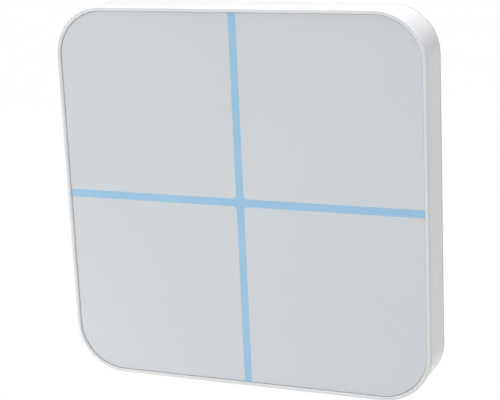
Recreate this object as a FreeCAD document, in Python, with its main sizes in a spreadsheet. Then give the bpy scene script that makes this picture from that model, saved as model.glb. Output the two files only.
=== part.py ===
import FreeCAD, Part

import math
import operator
import os
from types import SimpleNamespace

import Sketcher
from FreeCAD import Placement, Rotation, Vector

# Wireless wall switch: a square touch panel that magnets hold to a flat plate on the wall.
# X runs to the right, Z up and Y into the wall. The wall is the plane y = 0, and every height
# below is measured from it towards the room, so a height h lies at y = -h.

# Driving sizes in millimetres
SIZES = {
    # Outside of the unit
    "outer_side": 85.0,
    "outer_corner": 11.4,
    "shoulder_relief": 0.5,
    "seam_corner": 10.3,
    "side_draft": 0.32,
    "plate_proud": 1.0,
    # Lip round the face
    "lip_width": 0.97,
    "lip_band": 1.2,
    "lip_round": 0.5,
    "lip_inner_break": 0.2,
    # Face: four touch panels and the light cross between them
    "panel_gap": 0.05,
    "panel_corner_relief": 0.08,
    "panel_recess": 0.32,
    "panel_thickness": 1.7,
    "panel_bevel": 0.08,
    "bar_width": 1.75,
    "bar_round": 0.9,
    "tape_thickness": 0.12,
    "tape_width": 1.2,
    "tape_inset": 0.4,
    # Housing walls
    "wall_thickness": 1.6,
    "ledge_width": 2.08,
    "ledge_thickness": 1.2,
    # Touch board
    "touch_gap": 0.2,
    "touch_thickness": 1.0,
    "copper_thickness": 0.08,
    "copper_margin": 1.2,
    "copper_corner": 1.0,
    "led_length": 2.4,
    "led_width": 1.6,
    "led_thickness": 0.8,
    "led_hole_radius": 0.7,
    "led_first": 12.0,
    "led_edge_inset": 9.0,
    "led_gap": 0.05,
    "touch_chip_side": 5.0,
    "touch_chip_thickness": 0.6,
    "touch_chip_offset": 8.0,
    # Carrier frame
    "carrier_gap": 0.3,
    "carrier_thickness": 1.0,
    "carrier_rim": 1.6,
    "standoff_radius": 2.0,
    "boss_radius": 2.5,
    "rib_thickness": 0.8,
    "rib_height": 2.5,
    "rib_length": 6.0,
    "window_margin": 0.7,
    # Main board, an L: a wide part beside the battery and a strip below it
    "pack_margin": 4.9,
    "board_gap": 6.0,
    "board_thickness": 1.0,
    "board_corner": 1.0,
    "board_top_drop": 9.0,
    "board_foot_inset": 2.9,
    "strip_height": 14.0,
    "strip_reach": 24.0,
    "board_notch_width": 9.0,
    "board_notch_height": 11.0,
    "board_screw_inset": 2.8,
    # Small screws that hold the main board
    "board_screw_radius": 0.6,
    "board_screw_length": 2.0,
    "board_screw_head_radius": 1.3,
    "board_screw_head": 0.6,
    "screw_fit": 0.03,
    "screw_hole_gap": 0.15,
    "pilot_spare": 0.1,
    # Chips and connectors
    "controller_side": 7.0,
    "controller_thickness": 0.9,
    "controller_inset": 5.0,
    "controller_drop": 14.0,
    "charger_side": 3.0,
    "charger_thickness": 0.8,
    "charger_left": 7.5,
    "charger_drop": 6.0,
    "crystal_length": 3.2,
    "crystal_width": 2.5,
    "crystal_thickness": 0.7,
    "crystal_gap": 1.5,
    "radio_length": 16.0,
    "radio_width": 11.0,
    "radio_board_thickness": 0.8,
    "radio_drop": 6.0,
    "shield_inset": 1.2,
    "shield_thickness": 1.5,
    "shield_sheet": 0.2,
    "antenna_length": 7.0,
    "antenna_width": 2.0,
    "antenna_thickness": 0.8,
    "antenna_inset": 5.6,
    "antenna_drop": 4.0,
    "link_length": 10.0,
    "link_width": 3.5,
    "link_plug_height": 1.25,
    "link_left": 8.0,
    "link_foot": 3.5,
    "buzzer_side": 9.0,
    "buzzer_inset": 9.0,
    "buzzer_drop": 13.5,
    "buzzer_thickness": 1.9,
    "buzzer_hole_radius": 1.0,
    "buzzer_hole_depth": 0.3,
    # Charging socket in the bottom edge
    "usb_width": 7.5,
    "usb_thickness": 2.45,
    "usb_length": 5.0,
    "usb_sheet": 0.3,
    "usb_corner": 0.6,
    "usb_setback": 0.9,
    "usb_back_gap": 0.2,
    "usb_slot_gap": 0.25,
    "usb_back": 1.2,
    "tongue_width": 3.8,
    "tongue_thickness": 0.6,
    "tongue_setback": 0.6,
    # Battery
    "battery_width": 30.0,
    "battery_length": 28.0,
    "battery_thickness": 4.0,
    "battery_corner": 1.5,
    "battery_round": 0.8,
    "battery_gap": 2.0,
    "battery_slack": 0.3,
    "battery_back_gap": 0.15,
    "terrace_length": 2.5,
    "terrace_inset": 2.0,
    "terrace_thickness": 1.2,
    "pad_thickness": 0.1,
    "pad_inset": 3.0,
    "socket_length": 5.0,
    "socket_width": 5.0,
    "socket_thickness": 2.3,
    "socket_left": 6.0,
    "socket_rise": 3.5,
    "plug_length": 3.6,
    "plug_inset": 0.5,
    "lead_radius": 0.4,
    "lead_pitch": 2.0,
    "lead_straight": 2.5,
    # Vibration motor
    "motor_radius": 1.6,
    "motor_length": 10.0,
    "motor_drop": 8.5,
    "motor_side_gap": 2.0,
    "motor_bore_depth": 3.0,
    "shaft_radius": 0.4,
    "shaft_running_gap": 0.03,
    "shaft_end_gap": 0.1,
    "weight_radius": 1.5,
    "weight_length": 3.4,
    "weight_hub_radius": 0.8,
    "weight_gap": 0.4,
    "weight_bore_gap": 0.01,
    "saddle_thickness": 1.0,
    "saddle_inset": 1.5,
    "saddle_depth": 0.4,
    "saddle_gap": 0.05,
    "motor_lead_radius": 0.25,
    "motor_lead_spread": 0.8,
    "motor_lead_across": 6.0,
    "motor_lead_drop": 0.4,
    "motor_lead_reach": 3.0,
    # Pairing button and its switch
    "switch_side": 4.0,
    "switch_left": 13.0,
    "switch_drop": 6.5,
    "button_radius": 1.5,
    "button_gap": 0.15,
    "button_recess": 0.1,
    "button_flange_radius": 2.3,
    "button_flange": 0.6,
    "button_rest_gap": 0.1,
    "button_travel": 0.4,
    "stem_radius": 0.9,
    "stem_length": 1.0,
    "stem_gap": 0.05,
    "stem_spare": 0.15,
    "stem_floor_gap": 0.1,
    # Rear cover
    "rim_thickness": 1.3,
    "rim_round": 0.85,
    "seam_width": 0.25,
    "seam_depth": 0.3,
    "spigot_gap": 0.12,
    "spigot_thickness": 1.0,
    "spigot_height": 2.0,
    "recess_depth": 1.6,
    "recess_corner": 6.0,
    "recess_wall": 1.2,
    "cover_floor": 1.2,
    "cover_screw_inset": 4.2,
    "cover_screw_radius": 0.8,
    "cover_screw_length": 3.5,
    "cover_screw_head_radius": 1.6,
    "cover_screw_head": 0.7,
    "cover_screw_sink": 0.75,
    "screw_drive_length": 1.7,
    "screw_drive_width": 0.35,
    "screw_drive_depth": 0.35,
    "magnet_radius": 4.0,
    "magnet_thickness": 1.5,
    "magnet_gap": 0.05,
    "magnet_sink": 0.8,
    "magnet_side_inset": 12.2,
    "magnet_inset": 6.2,
    "sound_hole_radius": 0.5,
    "sound_hole_ring": 2.0,
    # Wall plate
    "plate_margin": 6.28,
    "plate_fit_gap": 0.3,
    "plate_front_gap": 0.15,
    "plate_chamfer": 0.4,
    "wall_hole_inset": 5.9,
    "wall_hole_radius": 2.0,
    "wall_head_radius": 4.1,
    "wall_head_angle": 90.0,
    "strike_radius": 5.0,
    "strike_thickness": 0.8,
    "strike_gap": 0.05,
    "foam_width": 52.0,
    "foam_height": 14.0,
    "foam_thickness": 0.8,
    "foam_centre": 17.0,
    "foam_corner": 2.0,
    "foam_gap": 0.15,
}

PARTS_FOLDER = "parts"
OVERCUT = 1.0
BEND_SHARE = 0.45

doc = FreeCAD.newDocument("WallSwitch")
sheet = doc.addObject("Spreadsheet::Sheet", "Sizes")
for row, (alias, value) in enumerate(SIZES.items(), start=1):
    sheet.set(f"A{row}", str(value))
    sheet.setAlias(f"A{row}", alias)
doc.recompute()


class Length:
    """A length known both as a number and as a formula over the sheet's cells."""

    def __init__(self, number, formula):
        self.number = number
        self.formula = formula

    def __add__(self, other):
        return joined(self, "+", other)

    def __radd__(self, other):
        return joined(other, "+", self)

    def __sub__(self, other):
        return joined(self, "-", other)

    def __rsub__(self, other):
        return joined(other, "-", self)

    def __mul__(self, other):
        return joined(self, "*", other)

    def __rmul__(self, other):
        return joined(other, "*", self)

    def __truediv__(self, other):
        return joined(self, "/", other)

    def __neg__(self):
        return joined(0, "-", self)


SIGNS = {"+": operator.add, "-": operator.sub, "*": operator.mul, "/": operator.truediv}


def as_length(value):
    return value if isinstance(value, Length) else Length(float(value), str(float(value)))


def joined(left, sign, right):
    left = as_length(left)
    right = as_length(right)
    number = SIGNS[sign](left.number, right.number)
    return Length(number, f"({left.formula} {sign} {right.formula})")


s = SimpleNamespace(**{name: Length(float(sheet.get(name)), f"Sizes.{name}") for name in SIZES})

# Levels, from the wall to the face
seam = s.plate_proud + s.rim_thickness
recess_floor = s.plate_proud + s.recess_depth
plate_front = recess_floor - s.plate_front_gap
cover_inner = recess_floor + s.cover_floor
main_back = cover_inner + s.usb_back_gap + s.usb_thickness
main_front = main_back + s.board_thickness
carrier_back = cover_inner + s.battery_back_gap + s.battery_thickness + s.pad_thickness
carrier_front = carrier_back + s.carrier_thickness
touch_back = carrier_front + s.led_gap + s.led_thickness
touch_front = touch_back + s.touch_thickness
panel_back = touch_front + s.copper_thickness
panel_front = panel_back + s.panel_thickness
front = panel_front + s.panel_recess
ledge_front = panel_back - s.tape_thickness
ledge_back = ledge_front - s.ledge_thickness

# Half widths and corner radii, from the outside in
outer_half = s.outer_side / 2
seam_half = outer_half - s.side_draft
shoulder_corner = s.outer_corner + s.shoulder_relief
face_half = outer_half - s.lip_width
face_corner = s.outer_corner - s.lip_width
panel_half = face_half - s.panel_gap
panel_corner = face_corner - s.panel_gap + s.panel_corner_relief
ledge_half = face_half - s.ledge_width
ledge_corner = face_corner - s.ledge_width
touch_half = ledge_half - s.touch_gap
touch_corner = ledge_corner - s.touch_gap
cavity_half = outer_half - s.wall_thickness
cavity_corner = s.seam_corner - s.wall_thickness + s.side_draft
carrier_half = cavity_half - s.carrier_gap
carrier_corner = cavity_corner - s.carrier_gap
plate_half = seam_half - s.plate_margin
recess_half = plate_half + s.plate_fit_gap

# Places of what is packed inside
pack_half = cavity_half - s.pack_margin
battery_left = -pack_half
battery_right = battery_left + s.battery_width
board_left = battery_right + s.board_gap
board_right = pack_half
board_top = pack_half - s.board_top_drop
board_foot = s.board_foot_inset - cavity_half
strip_top = board_foot + s.strip_height
battery_foot = strip_top + s.battery_gap
battery_top = battery_foot + s.battery_length
terrace_top = battery_top + s.terrace_length
motor_height = (carrier_back + cover_inner) / 2
motor_level = pack_half - s.motor_drop
motor_right = board_left - s.motor_side_gap
motor_left = motor_right - s.motor_length
weight_right = motor_left - s.weight_gap
weight_left = weight_right - s.weight_length
switch_x = board_left + s.switch_left + s.switch_side / 2
switch_z = board_top - s.switch_drop - s.switch_side / 2
buzzer_x = board_right - s.buzzer_inset
buzzer_z = -s.buzzer_drop
cover_screw_reach = recess_half - s.cover_screw_inset
magnet_across = recess_half - s.magnet_side_inset
magnet_reach = recess_half - s.magnet_inset
plug_x = board_left + s.socket_left - s.plug_length
plug_z = terrace_top + s.socket_rise

COVER_SCREWS = [(i * cover_screw_reach, j * cover_screw_reach) for i in (-1, 1) for j in (-1, 1)]
MAGNETS = [(i * magnet_across, j * magnet_reach) for i in (-1, 1) for j in (-1, 1)]
BOARD_SCREWS = [
    (board_left + s.board_screw_inset, board_top - s.board_screw_inset),
    (board_right - s.board_screw_inset, board_top - s.board_screw_inset),
    (board_right - s.board_screw_inset, s.board_screw_inset + s.board_notch_height + board_foot),
    (s.board_screw_inset - s.strip_reach, board_foot + s.strip_height / 2),
]
LED_REACHES = [s.led_first, touch_half - s.led_edge_inset]
LEDS = [(side * reach, as_length(0)) for reach in LED_REACHES for side in (-1, 1)]
LEDS += [(as_length(0), side * reach) for reach in LED_REACHES for side in (-1, 1)]


# Sketches and features

def new_body(name):
    body = doc.addObject("PartDesign::Body", name)
    body.Label = name
    return body


def new_sketch(body, plane, offset):
    """A sketch on one of the body's own planes, moved along the plane's normal."""
    sketch = body.newObject("Sketcher::SketchObject", body.Label + "_sketch")
    origin_plane = next(item for item in body.Origin.OriginFeatures if item.Role == plane)
    sketch.AttachmentSupport = [(origin_plane, "")]
    sketch.MapMode = "FlatFace"
    sketch.setExpression("AttachmentOffset.Base.z", as_length(offset).formula)
    return sketch


def at_height(body, height):
    """A sketch parallel to the wall, seen from the room, at a height above the wall."""
    return new_sketch(body, "XZ_Plane", height)


def bind(sketch, constraint, formula_of):
    """Add a constraint with a size and tie that size to the sheet."""
    index = sketch.addConstraint(constraint)
    sketch.setExpression(f"Constraints[{index}]", formula_of.formula)


def outline(sketch, corners):
    """A closed outline of level and upright lines through (x, y, radius) corners."""
    count = len(corners)
    points = [Vector(x.number, y.number, 0) for x, y, _ in corners]
    radii = [radius.number if radius is not None else 0.0 for _, _, radius in corners]
    ways = [(points[(i + 1) % count] - points[i]).normalize() for i in range(count)]
    first = sketch.GeometryCount
    for i in range(count):
        start = points[i] + ways[i] * radii[i]
        end = points[(i + 1) % count] - ways[i] * radii[(i + 1) % count]
        sketch.addGeometry(Part.LineSegment(start, end), False)
    for i, (x, y, radius) in enumerate(corners):
        line = first + i
        before = first + (i - 1) % count
        level = abs(ways[i].y) < 0.5
        sketch.addConstraint(Sketcher.Constraint("Horizontal" if level else "Vertical", line))
        if level:
            bind(sketch, Sketcher.Constraint("DistanceY", -1, 1, line, 1, points[i].y), y)
        else:
            bind(sketch, Sketcher.Constraint("DistanceX", -1, 1, line, 1, points[i].x), x)
        if radius is None:
            sketch.addConstraint(Sketcher.Constraint("Coincident", before, 2, line, 1))
            continue
        back = ways[i - 1]
        centre = points[i] + (ways[i] - back) * radii[i]
        left_turn = back.x * ways[i].y - back.y * ways[i].x > 0
        enters = points[i] - back * radii[i] - centre
        leaves = points[i] + ways[i] * radii[i] - centre
        begin, finish = (enters, leaves) if left_turn else (leaves, enters)
        angles = [math.atan2(spoke.y, spoke.x) for spoke in (begin, finish)]
        circle = Part.Circle(centre, Vector(0, 0, 1), radii[i])
        arc = sketch.addGeometry(Part.ArcOfCircle(circle, *angles), False)
        near, far = (1, 2) if left_turn else (2, 1)
        sketch.addConstraint(Sketcher.Constraint("Tangent", before, 2, arc, near))
        sketch.addConstraint(Sketcher.Constraint("Tangent", line, 1, arc, far))
        bind(sketch, Sketcher.Constraint("Radius", arc, radii[i]), radius)


def rectangle(sketch, left, right, foot, top, corner=None):
    outline(sketch, [(left, foot, corner), (right, foot, corner), (right, top, corner), (left, top, corner)])


def square(sketch, half, corner=None):
    rectangle(sketch, -half, half, -half, half, corner)


def circles(sketch, centres, radius):
    for x, y in centres:
        disc = Part.Circle(Vector(x.number, y.number, 0), Vector(0, 0, 1), radius.number)
        index = sketch.addGeometry(disc, False)
        bind(sketch, Sketcher.Constraint("DistanceX", -1, 1, index, 3, x.number), x)
        bind(sketch, Sketcher.Constraint("DistanceY", -1, 1, index, 3, y.number), y)
        bind(sketch, Sketcher.Constraint("Radius", index, radius.number), radius)


def feature(body, kind, sketch, length):
    item = body.newObject("PartDesign::" + kind, f"{body.Label}_{kind.lower()}")
    item.Profile = sketch
    item.setExpression("Length", as_length(length).formula)
    body.Tip = item
    return item


def pad(body, sketch, length):
    return feature(body, "Pad", sketch, length)


def pocket(body, sketch, length):
    """A cut from the sketch against its normal: towards the wall for a sketch at a height."""
    return feature(body, "Pocket", sketch, length)


def level_edges(shape, height, inside=None, outside=None):
    """Names of the edges that lie at one height, by how far their ends are from the middle."""
    slack = 0.01
    names = []
    for index, edge in enumerate(shape.Edges, start=1):
        ends = [corner.Point for corner in edge.Vertexes]
        reach = min(max(abs(end.x), abs(end.z)) for end in ends)
        flat = max(abs(end.y + height.number) for end in ends) < slack
        near_enough = inside is None or reach < inside.number + slack
        far_enough = outside is None or reach > outside.number - slack
        if flat and near_enough and far_enough:
            names.append(f"Edge{index}")
    return names


def dress(body, kind, amount, height, inside=None, outside=None):
    """A fillet or chamfer on the level edges of the body as it stands."""
    doc.recompute()
    base = body.Tip
    edges = level_edges(base.Shape, height, inside, outside)
    item = body.newObject("PartDesign::" + kind, f"{body.Label}_{kind.lower()}")
    item.Base = (base, edges)
    item.setExpression("Radius" if kind == "Fillet" else "Size", amount.formula)
    body.Tip = item
    return item


def block(name, left, width, foot, height, low, thickness):
    """A box from left and foot, standing on the height low and thickness deep."""
    box = doc.addObject("Part::Box", name)
    box.Label = name
    sizes = {"Length": width, "Width": thickness, "Height": height}
    places = {"Placement.Base.x": left, "Placement.Base.y": -(low + thickness), "Placement.Base.z": foot}
    for key, value in {**sizes, **places}.items():
        box.setExpression(key, value.formula)
    return box


def rod(name, radius, length, x, height, z, turn=None):
    """A cylinder along X that starts at x, or a part turn of one."""
    item = doc.addObject("Part::Cylinder", name)
    item.Placement = Placement(Vector(0, 0, 0), turn or Rotation(Vector(0, 1, 0), 90))
    sizes = {"Radius": radius, "Height": length}
    places = {"Placement.Base.x": x, "Placement.Base.y": -height, "Placement.Base.z": z}
    for key, value in {**sizes, **places}.items():
        item.setExpression(key, value.formula)
    return item


def boolean(kind, name, base, tool):
    item = doc.addObject("Part::" + kind, name)
    item.Label = name
    item.Base = base
    item.Tool = tool
    return item


def wire_tube(name, points, radius):
    """A bent wire: straight runs through the points, joined by tangent arcs."""
    runs = [(b - a) for a, b in zip(points, points[1:])]
    edges = []
    start = points[0]
    for i in range(1, len(points) - 1):
        before = runs[i - 1]
        after = runs[i]
        turn = before.getAngle(after)
        reach = BEND_SHARE * min(before.Length, after.Length)
        bend = reach / math.tan(turn / 2)
        into = points[i] - before.normalize() * reach
        out = points[i] + Vector(after).normalize() * reach
        side = ((into - points[i]) + (out - points[i])).normalize()
        middle = points[i] + side * (bend / math.cos(turn / 2) - bend)
        edges.append(Part.LineSegment(start, into).toShape())
        edges.append(Part.Arc(into, middle, out).toShape())
        start = out
    edges.append(Part.LineSegment(start, points[-1]).toShape())
    path = Part.Wire(edges)
    ring = Part.makeCircle(radius, points[0], points[1] - points[0])
    tube = path.makePipeShell([Part.Wire([ring])], True, True)
    item = doc.addObject("Part::Feature", name)
    item.Shape = tube
    item.Label = name
    item.Placement = Placement()
    full = math.pi * radius ** 2 * path.Length
    print(f"{name}: length {path.Length:.2f}, volume {tube.Volume:.3f}, section times length {full:.3f}")
    return item


# Face: four touch panels, flush with the cross between them

def make_touch_panel(name, right, up):
    """One quarter of the face, between two arms of the cross."""
    inner = s.bar_width / 2
    body = new_body(name)
    quarter = at_height(body, panel_back)
    x_inner, x_outer = right * inner, right * panel_half
    z_inner, z_outer = up * inner, up * panel_half
    corners = [
        (x_inner, z_inner, s.bar_round),
        (x_outer, z_inner, None),
        (x_outer, z_outer, panel_corner),
        (x_inner, z_outer, None),
    ]
    outline(quarter, corners)
    pad(body, quarter, s.panel_thickness)
    dress(body, "Chamfer", s.panel_bevel, panel_front, outside=panel_half)


def make_light_cross():
    arm = s.bar_width / 2
    quarter = [(arm, arm, s.bar_round), (arm, panel_half, None), (-arm, panel_half, None)]
    corners = []
    for turn in range(4):
        corners += quarter
        quarter = [(-z, x, radius) for x, z, radius in quarter]
    body = new_body("light_cross")
    cross = at_height(body, panel_back)
    outline(cross, corners)
    pad(body, cross, s.panel_thickness)
    dress(body, "Chamfer", s.panel_bevel, panel_front, outside=panel_half)


def make_panel_adhesive():
    outside = face_half - s.tape_inset
    outside_corner = face_corner - s.tape_inset
    body = new_body("panel_adhesive")
    ring = at_height(body, ledge_front)
    square(ring, outside, outside_corner)
    square(ring, outside - s.tape_width, outside_corner - s.tape_width)
    pad(body, ring, s.tape_thickness)


# Touch board with its four pads, lamps and chip

def make_touch_board():
    body = new_body("touch_sensor_board")
    board = at_height(body, touch_back)
    square(board, touch_half, touch_corner)
    circles(board, LEDS, s.led_hole_radius)
    pad(body, board, s.touch_thickness)


def make_touch_electrodes():
    inner = s.bar_width / 2 + s.copper_margin
    outer = touch_half - s.copper_margin
    outer_corner = touch_corner - s.copper_margin
    body = new_body("touch_electrodes")
    pads = at_height(body, touch_front)
    for right in (-1, 1):
        for up in (-1, 1):
            corners = [
                (right * inner, up * inner, s.copper_corner),
                (right * outer, up * inner, s.copper_corner),
                (right * outer, up * outer, outer_corner),
                (right * inner, up * outer, s.copper_corner),
            ]
            outline(pads, corners)
    pad(body, pads, s.copper_thickness)


def make_cross_leds():
    body = new_body("cross_leds")
    cases = at_height(body, touch_back - s.led_thickness)
    for x, z in LEDS:
        rectangle(cases, x - s.led_length / 2, x + s.led_length / 2, z - s.led_width / 2, z + s.led_width / 2)
    pad(body, cases, s.led_thickness)


def make_touch_controller():
    side = s.touch_chip_side
    place = s.touch_chip_offset
    low = touch_back - s.touch_chip_thickness
    block("touch_controller", place, side, place, side, low, s.touch_chip_thickness)


# Housing frame: drafted walls, thin lip, ledge for the panels

def make_housing_frame():
    body = new_body("housing_frame")
    band = at_height(body, front - s.lip_band)
    square(band, outer_half, s.outer_corner)
    pad(body, band, s.lip_band)
    dress(body, "Fillet", s.lip_round, front)
    # The walls turn their corners a little wider than the lip, which stands proud of them there
    shoulder = at_height(body, front - s.lip_band)
    square(shoulder, outer_half, shoulder_corner)
    back = at_height(body, seam)
    square(back, seam_half, s.seam_corner)
    walls = body.newObject("PartDesign::AdditiveLoft", "housing_frame_walls")
    walls.Profile = shoulder
    walls.Sections = [back]
    walls.Ruled = True
    body.Tip = walls
    window = at_height(body, front)
    square(window, face_half, face_corner)
    pocket(body, window, front - ledge_front)
    dress(body, "Chamfer", s.lip_inner_break, front, inside=face_half)
    opening = at_height(body, ledge_front)
    square(opening, ledge_half, ledge_corner)
    pocket(body, opening, s.ledge_thickness)
    cavity = at_height(body, ledge_back)
    square(cavity, cavity_half, cavity_corner)
    pocket(body, cavity, ledge_back - seam)
    half_width = s.usb_width / 2 + s.usb_slot_gap
    slot_top = -(main_back - s.usb_thickness - s.usb_slot_gap)
    slot_foot = -(main_back + s.usb_slot_gap)
    slot = new_sketch(body, "XY_Plane", OVERCUT + s.wall_thickness - outer_half)
    rectangle(slot, -half_width, half_width, slot_foot, slot_top, s.usb_corner + s.usb_slot_gap)
    pocket(body, slot, s.wall_thickness + 2 * OVERCUT)


# Carrier frame: the inner moulding

def make_carrier_frame():
    body = new_body("carrier_frame")
    plate = at_height(body, carrier_back)
    square(plate, carrier_half, carrier_corner)
    pad(body, plate, ledge_back - carrier_back)
    platform = at_height(body, ledge_back)
    square(platform, touch_half, touch_corner)
    pad(body, platform, touch_back - ledge_back)
    tray = at_height(body, touch_back)
    square(tray, touch_half - s.carrier_rim, touch_corner - s.carrier_rim)
    pocket(body, tray, touch_back - carrier_front)
    window = at_height(body, carrier_front)
    link_right = s.link_left + s.link_length
    link_foot = board_foot + s.link_foot
    rectangle(
        window,
        s.link_left - s.window_margin,
        link_right + s.window_margin,
        link_foot - s.window_margin,
        link_foot + s.link_width + s.window_margin,
        s.window_margin,
    )
    pocket(body, window, s.carrier_thickness)
    standoffs = at_height(body, main_front)
    circles(standoffs, BOARD_SCREWS, s.standoff_radius)
    pad(body, standoffs, carrier_back - main_front)
    bosses = at_height(body, cover_inner)
    circles(bosses, COVER_SCREWS, s.boss_radius)
    pad(body, bosses, carrier_back - cover_inner)
    add_battery_ribs(body)
    add_motor_saddles(body)
    board_pilot = s.board_screw_length - s.board_thickness + s.pilot_spare
    pilots = at_height(body, main_front + board_pilot)
    circles(pilots, BOARD_SCREWS, s.board_screw_radius + s.screw_fit)
    pocket(body, pilots, board_pilot)
    cover_pilot = s.cover_screw_length - (s.cover_floor - s.cover_screw_sink) + s.pilot_spare
    cover_pilots = at_height(body, cover_inner + cover_pilot)
    circles(cover_pilots, COVER_SCREWS, s.cover_screw_radius + s.screw_fit)
    pocket(body, cover_pilots, cover_pilot)


def add_battery_ribs(body):
    """Four angle ribs that hold the battery at its corners."""
    ribs = at_height(body, carrier_back - s.rib_height)
    for right, x in ((-1, battery_left), (1, battery_right)):
        for up, z in ((-1, battery_foot), (1, terrace_top)):
            x_in = x + right * s.battery_slack
            z_in = z + up * s.battery_slack
            x_out = x_in + right * s.rib_thickness
            z_out = z_in + up * s.rib_thickness
            x_end = x_in - right * s.rib_length
            z_end = z_in - up * s.rib_length
            corners = [(x_in, z_in), (x_in, z_end), (x_out, z_end), (x_out, z_out), (x_end, z_out), (x_end, z_in)]
            outline(ribs, [(corner_x, corner_z, None) for corner_x, corner_z in corners])
    pad(body, ribs, s.rib_height)


def add_motor_saddles(body):
    """Two ribs with a round seat that the motor lies in."""
    low = motor_height - s.saddle_depth
    half = s.motor_radius + s.rib_thickness
    ribs = at_height(body, low)
    for left in (motor_left + s.saddle_inset, motor_right - s.saddle_inset - s.saddle_thickness):
        rectangle(ribs, left, left + s.saddle_thickness, motor_level - half, motor_level + half)
    pad(body, ribs, carrier_back - low)
    seat = new_sketch(body, "YZ_Plane", motor_right)
    circles(seat, [(-motor_height, motor_level)], s.motor_radius + s.saddle_gap)
    pocket(body, seat, s.motor_length)


# Main board and what is soldered to it

def make_main_board():
    body = new_body("main_board")
    board = at_height(body, main_back)
    notch_x = board_right - s.board_notch_width
    notch_z = board_foot + s.board_notch_height
    corners = [
        (-s.strip_reach, board_foot),
        (notch_x, board_foot),
        (notch_x, notch_z),
        (board_right, notch_z),
        (board_right, board_top),
        (board_left, board_top),
        (board_left, strip_top),
        (-s.strip_reach, strip_top),
    ]
    outline(board, [(x, z, s.board_corner) for x, z in corners])
    circles(board, BOARD_SCREWS, s.board_screw_radius + s.screw_hole_gap)
    pad(body, board, s.board_thickness)


def make_board_screws():
    body = new_body("board_screws")
    heads = at_height(body, main_back - s.board_screw_head)
    circles(heads, BOARD_SCREWS, s.board_screw_head_radius)
    pad(body, heads, s.board_screw_head)
    shanks = at_height(body, main_back)
    circles(shanks, BOARD_SCREWS, s.board_screw_radius)
    pad(body, shanks, s.board_screw_length)
    add_screw_drive(body, BOARD_SCREWS, main_back - s.board_screw_head)


def add_screw_drive(body, centres, head_face):
    """A cross recess in each head: one slot each way."""
    long_half = s.screw_drive_length / 2
    short_half = s.screw_drive_width / 2
    for across, along in ((long_half, short_half), (short_half, long_half)):
        slots = at_height(body, head_face + s.screw_drive_depth)
        for x, z in centres:
            rectangle(slots, x - across, x + across, z - along, z + along)
        pocket(body, slots, s.screw_drive_depth)


def make_board_chips():
    """Chips on the back of the main board, and the plug and socket between the boards."""
    side = s.controller_side
    thick = s.controller_thickness
    left = board_left + s.controller_inset
    block("microcontroller", left, side, -s.controller_drop, side, main_back - thick, thick)
    foot = -s.controller_drop - s.crystal_gap - s.crystal_width
    thick = s.crystal_thickness
    block("crystal", left, s.crystal_length, foot, s.crystal_width, main_back - thick, thick)
    side = s.charger_side
    foot = strip_top - s.charger_drop
    thick = s.charger_thickness
    block("charger_chip", s.charger_left, side, foot, side, main_back - thick, thick)
    left = board_right - s.antenna_inset - s.antenna_length
    foot = board_top - s.antenna_drop
    thick = s.antenna_thickness
    block("chip_antenna", left, s.antenna_length, foot, s.antenna_width, main_back - thick, thick)
    link_foot = board_foot + s.link_foot
    plug_low = touch_back - s.link_plug_height
    block("board_plug", s.link_left, s.link_length, link_foot, s.link_width, plug_low, s.link_plug_height)
    socket_height = plug_low - main_front
    block("board_socket", s.link_left, s.link_length, link_foot, s.link_width, main_front, socket_height)


def make_radio():
    left = board_right - s.radio_length - s.board_screw_inset
    foot = -s.radio_drop
    low = main_back - s.radio_board_thickness
    block("radio_board", left, s.radio_length, foot, s.radio_width, low, s.radio_board_thickness)
    body = new_body("radio_shield")
    can_low = low - s.shield_thickness
    edges = (left + s.shield_inset, left + s.radio_length - s.shield_inset)
    levels = (foot + s.shield_inset, foot + s.radio_width - s.shield_inset)
    can = at_height(body, can_low)
    rectangle(can, *edges, *levels)
    pad(body, can, s.shield_thickness)
    inside = at_height(body, low)
    sheet_inset = s.shield_sheet
    rectangle(
        inside,
        edges[0] + sheet_inset,
        edges[1] - sheet_inset,
        levels[0] + sheet_inset,
        levels[1] - sheet_inset,
    )
    pocket(body, inside, s.shield_thickness - s.shield_sheet)


def make_buzzer():
    body = new_body("buzzer")
    half = s.buzzer_side / 2
    low = main_back - s.buzzer_thickness
    case = at_height(body, low)
    rectangle(case, buzzer_x - half, buzzer_x + half, buzzer_z - half, buzzer_z + half)
    pad(body, case, s.buzzer_thickness)
    mouth = at_height(body, low + s.buzzer_hole_depth)
    circles(mouth, [(buzzer_x, buzzer_z)], s.buzzer_hole_radius)
    pocket(body, mouth, s.buzzer_hole_depth)


# Charging socket

def make_usb():
    mouth = s.usb_setback - outer_half
    half = s.usb_width / 2
    shallow = -main_back
    deep = s.usb_thickness - main_back
    body = new_body("usb_shell")
    tube = new_sketch(body, "XY_Plane", mouth)
    rectangle(tube, -half, half, shallow, deep, s.usb_corner)
    inner_half = half - s.usb_sheet
    inner_levels = (shallow + s.usb_sheet, deep - s.usb_sheet)
    inner_corner = s.usb_corner - s.usb_sheet
    rectangle(tube, -inner_half, inner_half, *inner_levels, inner_corner)
    pad(body, tube, s.usb_length)
    body = new_body("usb_insert")
    stopper = new_sketch(body, "XY_Plane", mouth + s.usb_length - s.usb_back)
    rectangle(stopper, -inner_half, inner_half, *inner_levels, inner_corner)
    pad(body, stopper, s.usb_back)
    tongue = new_sketch(body, "XY_Plane", mouth + s.tongue_setback)
    middle = (shallow + deep) / 2
    thick = s.tongue_thickness / 2
    rectangle(tongue, -s.tongue_width / 2, s.tongue_width / 2, middle - thick, middle + thick)
    pad(body, tongue, s.usb_length - s.usb_back - s.tongue_setback)


# Battery, its pad, plug, socket and leads

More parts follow.
